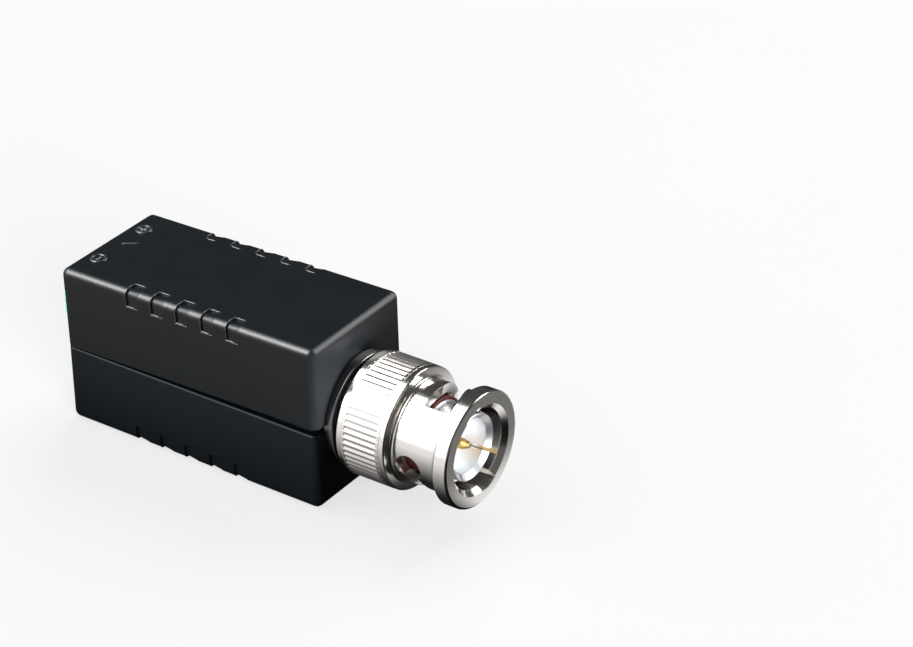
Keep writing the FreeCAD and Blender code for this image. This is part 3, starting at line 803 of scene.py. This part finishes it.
def lip_paths(wall_x):
    """The upper and the lower lip of the grip whose wall is at wall_x, on the unrolled skin."""
    wall_end = (wall_x, grip_run - foot_corner - after_corner)
    foot_centre = (wall_x + foot_corner, grip_run - foot_corner)
    foot = [
        bend(foot_centre, foot_corner, 180.0, 90.0, 8),
        line((foot_centre[0] + after_corner, grip_run), (wall_x + foot_reach, grip_run), 12),
    ]
    top = [
        line((wall_x + top_reach, 0.0), (wall_x + top_corner + after_corner, 0.0), 12),
        bend((wall_x + top_corner, top_corner), top_corner, 270.0, 180.0),
        line((wall_x, top_corner + after_corner), wall_end, 30),
    ]
    floor = [line((wall_x, floor_run), wall_end, 24)]
    return np.concatenate(top + foot), np.concatenate(floor + foot)


print("walls from %.2f mm, every %.2f mm" % (grip_start / mm, grip_pitch / mm))

# %% Grip lips
upper_lips = []
lower_lips = []
for grip in range(grip_count):
    upper_path, lower_path = lip_paths(grip_start + grip * grip_pitch)
    upper_flat = bead(upper_path, lip_half, lip_rise, lip_sunk)
    lower_flat = bead(lower_path, lip_half, lip_rise, lip_sunk)
    for side in (-1.0, 1.0):
        upper_lips.append((tip(over_edge(upper_flat, side, lid_height, -1.0)), False))
        lower_lips.append((over_edge(lower_flat, side, 0.0, 1.0), False))
# Upper lips take the rubbed plastic with its painted highlight; lower lips keep the plain case
# plastic.
skin(upper_lips, "upper_grip_lips", rubbed_and_highlit_finish, "balun")
skin(lower_lips, "lower_grip_lips", case_finish, "balun")

# %% [markdown]
# ## The knurl
#
# The ring's grip is a straight knurl of sixty ridges with two flat flanks each. One flank of every
# ridge faces the large light, so the band stays white further round than the smooth collar does,
# with thin lines between. The band is laid just outside the solid's own ridges, because theirs end
# sharply and a pressed knurl fades out.

# %% Knurl
ridge_count = 60
ridge_depth = 0.14 * mm
ridge_crest = 7.475 * mm
knurl_start = face_x + 2.6 * mm
knurl_end = face_x + 7.8 * mm
steps_per_ridge = 12
knurl_edge = 0.05 * mm
knurl_sunk = 0.3 * mm
fade_length = 0.35 * mm
fade_steps = 6
edge_steps = 5


def knurl_band(x0, x1, crest, depth, count):
    """
    Radius = crest minus depth times the distance from the ridge's middle, in half pitches, so that
    each ridge has two flat flanks. The depth fades in by a smooth step at the band's ends, where
    the band bends inwards by a quarter circle and then drops into the collar.
    """
    turn = np.linspace(0.0, 2.0 * math.pi, count * steps_per_ridge, endpoint=False)
    away = 2.0 * np.abs((turn * count / (2.0 * math.pi) + 0.5) % 1.0 - 0.5)
    lean = np.radians(np.linspace(0.0, 90.0, edge_steps))
    fade = np.linspace(0.0, 1.0, fade_steps)[1:]
    round_part = knurl_edge * (1.0 - np.cos(lean))
    start = np.concatenate([[0.0], round_part, knurl_edge + fade_length * fade])
    round_drop = knurl_edge * (1.0 - np.sin(lean))
    drop = np.concatenate([[knurl_sunk], round_drop, 0.0 * fade])
    deep = np.concatenate([np.zeros(1 + edge_steps), fade * fade * (3.0 - 2.0 * fade)])
    xs = np.concatenate([x0 + start, x1 - start[::-1]])
    drop = np.concatenate([drop, drop[::-1]])
    deep = np.concatenate([deep, deep[::-1]])
    radius = crest - drop[:, None] - depth * deep[:, None] * away[None, :]
    along = np.broadcast_to(xs[:, None], radius.shape)
    return np.stack([along, radius * np.sin(turn), axis_z + radius * np.cos(turn)], -1)


band = knurl_band(knurl_start, knurl_end, ridge_crest, ridge_depth, ridge_count)
skin([(band, True)], "ring_knurl", knurl_finish, "coupling")

# %% [markdown]
# ## The winding
#
# The transformer is wound by hand with enamelled copper: one wire that goes round the core's
# section again and again while it creeps round the ring. Modelling the wire itself gives the fan of
# turns that lie side by side in the hole and spread on the outside.

# %% Winding
wire_turns = 26
wire_sweep = 296.0
wire_thick = 0.34 * mm
steps_per_turn = 36
wire_sides = 8
hole_share = 2.3 / 4.45
squareness = 1.0 / 3.0


def wound_wire(turns, sweep, wire):
    """
    Path: the angle round the ring grows evenly, while a second angle goes once round the section
    for each turn. The section is a superellipse, cos and sin to the power of a third, half a wire
    outside the core. The wire's own section lies in the plane of the outward direction and the
    ring's tangent.
    """
    low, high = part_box("toroid_core")
    middle = np.array((low + high) / 2.0)
    outer = (high.x - low.x) / 2.0
    inner = outer * hole_share
    half_height = (high.z - low.z) / 2.0
    share = np.linspace(0.0, 1.0, turns * steps_per_turn + 1)
    ring_angle = np.radians(sweep) * (share - 0.5)
    section = 2.0 * math.pi * turns * share
    across = np.sign(np.cos(section)) * np.abs(np.cos(section)) ** squareness
    upward = np.sign(np.sin(section)) * np.abs(np.sin(section)) ** squareness
    radius = (outer + inner) / 2.0 + ((outer - inner) / 2.0 + wire / 2.0) * across
    height = middle[2] + (half_height + wire / 2.0) * upward
    ring_cos = np.cos(ring_angle)
    ring_sin = np.sin(ring_angle)
    level = np.zeros_like(share)
    path = np.stack([middle[0] + radius * ring_cos, middle[1] + radius * ring_sin, height], -1)
    radial = np.stack([ring_cos, ring_sin, level], -1)
    tangent = np.stack([-ring_sin, ring_cos, level], -1)
    upright = np.array([0.0, 0.0, 1.0])
    outward = radial * np.cos(section)[:, None] + upright * np.sin(section)[:, None]
    end_steps = np.minimum(share, 1.0 - share) * turns * steps_per_turn
    size = wire / 2.0 * np.clip(end_steps, 0.0, 1.0)
    turn = np.linspace(0.0, 2.0 * math.pi, wire_sides, endpoint=False)
    offset = outward[:, None, :] * np.cos(turn)[:, None]
    offset = offset + tangent[:, None, :] * np.sin(turn)[:, None]
    return path[:, None, :] + offset * size[:, None, None]


wire = wound_wire(wire_turns, wire_sweep, wire_thick)
winding = skin([(wire, False)], "transformer_wire", winding_finish, "balun")
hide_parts("toroid_winding")

# %% [markdown]
# ## Springs copied from their solids
#
# Three springs can't follow a joint as a rigid piece would: the wave washer that the ring presses
# on, and the leaf behind each push button. Each is copied from its solid, with its loose triangles
# joined. The share of its length that it would keep at the joint's limit is printed, but the copy
# does not flatten as the joint moves.

# %% Springs
washer_keep = 0.475
leaf_keep = 0.585
spring_reach = 1e-7


def springy(node, keep):
    """A copy of a spring, its triangles joined; prints the share it would keep at the joint's
    limit.
    """
    source = nodes[node]
    mesh = source.data.copy()
    mesh.transform(source.matrix_world)
    weld(mesh, spring_reach)
    mesh.materials.clear()
    mesh.materials.append(spring_finish)
    piece = linked("sprung_" + node, mesh)
    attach(piece, "balun")
    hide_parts(node)
    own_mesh(piece)
    print(piece.name, "keeps", keep)
    return piece


springs = [
    springy("wave_washer", washer_keep),
    springy("clamp_spring_plus", leaf_keep),
    springy("clamp_spring_minus", leaf_keep),
]

# %% [markdown]
# ## The table
#
# The object stands on a light table, a pale sheet that glows a little from below, so that shadows
# stay light. Bright metal would mirror such a sheet as plain white and lose its form: in the
# photograph the plug's underside is nearly black and its flat faces are grey. So rays that come
# from a mirror see a card in place of the sheet. It is dark beneath the object, brighter the
# farther out in front, and dark again in front of the plug's end. Behind the axis it is bright
# only by the plug's end, and turns grey beyond it.
# The card is a painted reflection: its dark patch beneath the object is a painted shadow, and its
# bright patch by the plug's end is painted light.

# %% The card
card_reach = 80.0 * mm
# Painted shadow in the mirrored table: the card is dark beneath the object and brightens in front.
card_front = [
    (0.0, 0.03),
    (2.0 * mm, 0.010),
    (6.0 * mm, 0.012),
    (8.4 * mm, 0.06),
    (14.0 * mm, 0.30),
    (20.0 * mm, 0.50),
    (29.0 * mm, 0.75),
    (50.0 * mm, 1.0),
    (80.0 * mm, 1.0),
]
card_front_end = (22.0 * mm, 30.0 * mm)
card_front_fall = 0.97
# Painted light in the mirrored table: bright behind the axis only by the plug's end.
card_back_side = (0.0, 4.0 * mm)
card_back_start = (24.0 * mm, 28.0 * mm)
card_back_end = (31.0 * mm, 37.0 * mm)
card_back_fall = 0.8


def card_radiance(finish):
    """
    Front: a curve of the distance in front of the plug's axis, times one minus a smooth step of the
    place along it. Behind: a smooth step of the distance behind the axis, times one along it, times
    one minus a part of a later one. The card is the sum of the two.
    """
    along, side = finish.parts(finish.place())[:2]
    ahead = side * (-1.0 / card_reach)
    stops = [(place / card_reach, (level, level, level)) for place, level in card_front]
    front = finish.node("ShaderNodeValToRGB", {"stops": stops}, {"Fac": ahead})
    front = front * (1.0 - card_front_fall * along.step(*card_front_end))
    behind = side.step(*card_back_side) * along.step(*card_back_start)
    behind = behind * (1.0 - card_back_fall * along.step(*card_back_end))
    return front + behind


print("stops on the card:", len(card_front))

# %% Table
table_size = 6.0
table_glow = 0.66
table_cloud = 60.0 * mm
table_dark = (0.235, 0.235, 0.24)
table_light = (0.25, 0.25, 0.25)


def table_material():
    """Pale laminate that glows a little, and the card in its place for rays from a mirror."""
    finish = Finish("table_pale")
    cloud = finish.noise(table_cloud, detail=2.0)
    pale = finish.principled(
        Base_Color=finish.mix(cloud, table_dark, table_light),
        Roughness=0.5 + 0.1 * cloud,
        Specular_IOR_Level=0.1,
        Emission_Color=(1.0, 1.0, 1.0),
        Emission_Strength=table_glow,
    )
    card = finish.node("ShaderNodeEmission", inputs={"Color": card_radiance(finish)})
    mirrored = finish.node("ShaderNodeLightPath", output="Is Glossy Ray")
    return finish.end(finish.node("ShaderNodeMixShader", inputs={0: mirrored, 1: pale, 2: card}))


table_mesh = bpy.data.meshes.new("table")
half = table_size / 2.0
corners = [(-half, -half, 0.0), (half, -half, 0.0), (half, half, 0.0), (-half, half, 0.0)]
table_mesh.from_pydata(corners, [], [(0, 1, 2, 3)])
table_mesh.materials.append(table_material())
table = linked("table", table_mesh)
print("table %.0f m wide" % table_size)

# %% [markdown]
# ## The lights
#
# Round metal tells where each light stands, because every point of it mirrors one direction. The
# white of the plug starts sharply at a line along its top and fades slowly near its underside, so a
# large light hangs to the left, over a white tent that has a clean upper edge, and a small one
# behind and to the right draws a second line. The black case needs other lamps than the metal: a
# bright one for its long edge, one behind for its far rim, one in front for its foot, and a small
# warm one for the light that the ring throws back onto its plug face. The insulator deep in the
# plug has one of its own, to the right of the camera. A studio keeps such lamps off the rest with
# flags; here each is linked to the pieces that it lights. Two lamps, behind and beside the camera,
# light everything and show in no reflection.


# %% Lamp helper
def softbox(name, direction, distance, size, radiance, mirrored, only=(), tint=(1.0, 1.0, 1.0)):
    """
    A square light that faces the object; its power is radiance times pi times its area. Where
    pieces are named, it lights nothing else. A lamp that isn't mirrored shows in no reflection.
    """
    lamp = bpy.data.lights.new(name, "AREA")
    lamp.shape = "SQUARE"
    lamp.size = size
    lamp.energy = radiance * math.pi * size * size
    lamp.color = tint
    box = linked(name, lamp)
    toward = Vector(direction).normalized()
    box.location = Vector((0.0, 0.0, axis_z)) + toward * distance
    box.rotation_euler = toward.to_track_quat("Z", "Y").to_euler()
    box.visible_glossy = mirrored
    box.visible_camera = False
    if only:
        lit = bpy.data.collections.new(name + "_lit")
        for piece in only:
            lit.objects.link(bpy.data.objects[piece])
        box.light_linking.receiver_collection = lit


print("lamps so far:", len(bpy.data.lights))

# %% What each lamp lights
lid_pieces = ["lid_marks", "upper_grip_lips"]
foot_pieces = ["lower_grip_lips"]
metal_added = ["ring_knurl", "transformer_wire"] + [spring.name for spring in springs]
all_pieces = [node.name for node in nodes.values()] + lid_pieces + foot_pieces + metal_added
upper_pieces = [nodes["upper_shell"].name] + lid_pieces
lower_pieces = [nodes["lower_shell"].name] + foot_pieces
metal_pieces = [name for name in all_pieces if name not in upper_pieces + lower_pieces]
socket_pieces = [nodes[name].name for name in ("insulator", "centre_pin", "plug_body")]
print("pieces to light:", len(all_pieces))

# %% Lights
studio_reach = 1.5
behind_right = (0.48, 0.70, 0.46)
lamps = [
    ("left_softbox", (-0.487, -0.36, 0.80), 1.6, 5.0, True, all_pieces),
    ("edge_softbox", (-0.487, -0.513, 0.706), 0.9, 50.0, True, upper_pieces),
    ("rear_softbox", behind_right, 0.6, 9.0, True, metal_pieces),
    ("rim_softbox", behind_right, 1.2, 13.0, True, upper_pieces),
    ("back_softbox", (-0.10, 0.72, 0.70), 1.2, 4.0, False, ()),
    ("camera_softbox", (0.80, -0.52, 0.42), 0.6, 16.0, False, ()),
    ("socket_softbox", (0.93, -0.30, 0.22), 0.8, 12.0, True, socket_pieces),
    ("front_softbox", (-0.20, -0.90, 0.38), 0.8, 40.0, False, lower_pieces),
]
for name, direction, size, radiance, mirrored, only in lamps:
    softbox(name, direction, studio_reach, size, radiance, mirrored, only)

ring_way = (26.1, -8.0, 5.0)
ring_reach = 27.8 * mm
ring_size = 6.0 * mm
ring_radiance = 1900.0
warm = (1.0, 0.62, 0.48)
softbox("ring_bounce", ring_way, ring_reach, ring_size, ring_radiance, False, upper_pieces, warm)
print("softboxes:", len(bpy.data.lights))

# %% [markdown]
# ## The sky
#
# What the lamps don't fill, the room does: nearly dark, with a bright tent over the front and the
# left. Its edge leans over the object from front to back, and is the clean line along the top of
# the round metal.

# %% Sky
room_light = 0.065
tent_light = 1.45
tent_lean = 0.18
tent_soft = 0.04
tent_fade = (-0.35, 0.30)
tent_fall = 0.96


def sky():
    """
    Radiance by direction: the room's, plus the tent's. The tent is the product of two smooth steps:
    one across a line that leans back, and one minus a part of one that fades it to the right.
    """
    finish = Finish("studio", world=True)
    direction = finish.node("ShaderNodeTexCoord", output="Generated")
    right_part, back_part, up_part = finish.parts(direction)
    tent = (tent_lean * up_part - back_part).step(-tent_soft, tent_soft)
    fade = right_part.step(*tent_fade)
    level = room_light + tent_light * tent * (1.0 - tent_fall * fade)
    return finish.end(finish.node("ShaderNodeBackground", inputs={"Color": level}))


bpy.context.scene.world = sky()
bpy.context.scene.view_settings.view_transform = "Standard"
bpy.context.scene.view_settings.look = "None"
print("sky:", bpy.context.scene.world.name)
